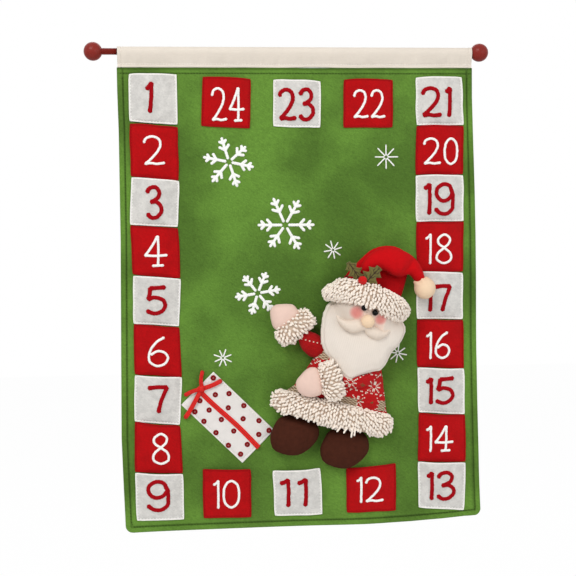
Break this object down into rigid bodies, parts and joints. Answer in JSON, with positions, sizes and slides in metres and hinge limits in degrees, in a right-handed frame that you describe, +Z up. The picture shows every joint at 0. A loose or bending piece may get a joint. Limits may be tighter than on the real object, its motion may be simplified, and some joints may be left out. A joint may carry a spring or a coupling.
{
  "type": "hanging advent calendar",
  "caption": "Hanging cloth banner on a wooden rod, with numbered felt pockets round its edge, a stuffed Father Christmas and a ribboned gift patch.",
  "frame": {"origin": "middle of the rod, on its axis", "axes": "+X to the viewer's right along the rod, -Y out of the numbered front, +Z up"},
  "size_m": [0.534, 0.0724, 0.6408],
  "materials": {
    "varnished_red": "glossy red paint",
    "cream_cotton": "plain woven cotton",
    "green_felt": "felt",
    "red_felt": "felt",
    "white_felt": "felt",
    "red_knit": "knitted, with a pattern in white, beige and green",
    "loop_pile": "short twisted loops",
    "brown_plush": "short plush",
    "skin_fleece": "brushed fleece",
    "white_fleece": "brushed fleece",
    "black_bead": "polished black bead",
    "leaf_cloth": "stiff matt cloth",
    "red_satin": "satin ribbon"
  },
  "bodies": {
    "rod": {"rod_dowel": "varnished_red", "ball_left": "varnished_red", "ball_right": "varnished_red"},
    "sleeve": {"rod_sleeve": "cream_cotton"},
    "banner": {"front_cloth": "green_felt", "back_lining": "green_felt", "pocket_01": "white_felt", "pocket_02": "red_felt", "pocket_03": "white_felt", "pocket_04": "red_felt", "pocket_05": "white_felt", "pocket_06": "red_felt", "pocket_07": "white_felt", "pocket_08": "red_felt", "pocket_09": "white_felt", "pocket_10": "red_felt", "pocket_11": "white_felt", "pocket_12": "red_felt", "pocket_13": "white_felt", "pocket_14": "red_felt", "pocket_15": "white_felt", "pocket_16": "red_felt", "pocket_17": "white_felt", "pocket_18": "red_felt", "pocket_19": "white_felt", "pocket_20": "red_felt", "pocket_21": "white_felt", "pocket_22": "red_felt", "pocket_23": "white_felt", "pocket_24": "red_felt", "gift_patch": "white_felt", "gift_ribbon": "red_satin", "gift_bow": "red_satin", "coat": "red_knit", "coat_trim": "loop_pile", "head": "white_fleece", "hat_crown": "red_felt", "hat_brim": "loop_pile", "beard": "white_fleece", "moustache": "white_fleece", "nose": "skin_fleece", "eye_left": "black_bead", "eye_right": "black_bead", "holly_leaf_left": "leaf_cloth", "holly_leaf_right": "leaf_cloth", "holly_berry": "red_felt", "arm_raised": "red_knit", "cuff_raised": "loop_pile", "hand_raised": "skin_fleece", "arm_lowered": "red_knit", "cuff_lowered": "loop_pile", "hand_lowered": "skin_fleece"},
    "hat_tip": {"hat_tip": "red_felt", "hat_pompom": "skin_fleece"},
    "boot_left": {"boot_left": "brown_plush"},
    "boot_right": {"boot_right": "brown_plush"}
  },
  "joints": [
    {"name": "sleeve_slide", "type": "slide", "parent": "rod", "child": "sleeve", "axis": [-1, 0, 0], "range_m": [0, 0.0199]},
    {"name": "banner_swing", "type": "hinge", "parent": "sleeve", "child": "banner", "pos_m": [0.00995, 0, -0.02245], "axis": [-1, 0, 0], "range_deg": [-90, 90]},
    {"name": "hat_tip_fold", "type": "hinge", "parent": "banner", "child": "hat_tip", "pos_m": [0.15798, -0.01995, -0.28046], "axis": [-0.891, 0, -0.454], "range_deg": [0, 40]},
    {"name": "boot_left_swing", "type": "hinge", "parent": "banner", "child": "boot_left", "pos_m": [0.01019, -0.01295, -0.47165], "axis": [-0.9681, 0, 0.2504], "range_deg": [0, 20]},
    {"name": "boot_right_swing", "type": "hinge", "parent": "banner", "child": "boot_right", "pos_m": [0.07769, -0.01295, -0.48911], "axis": [-0.9681, 0, 0.2504], "range_deg": [0, 20]}
  ]
}
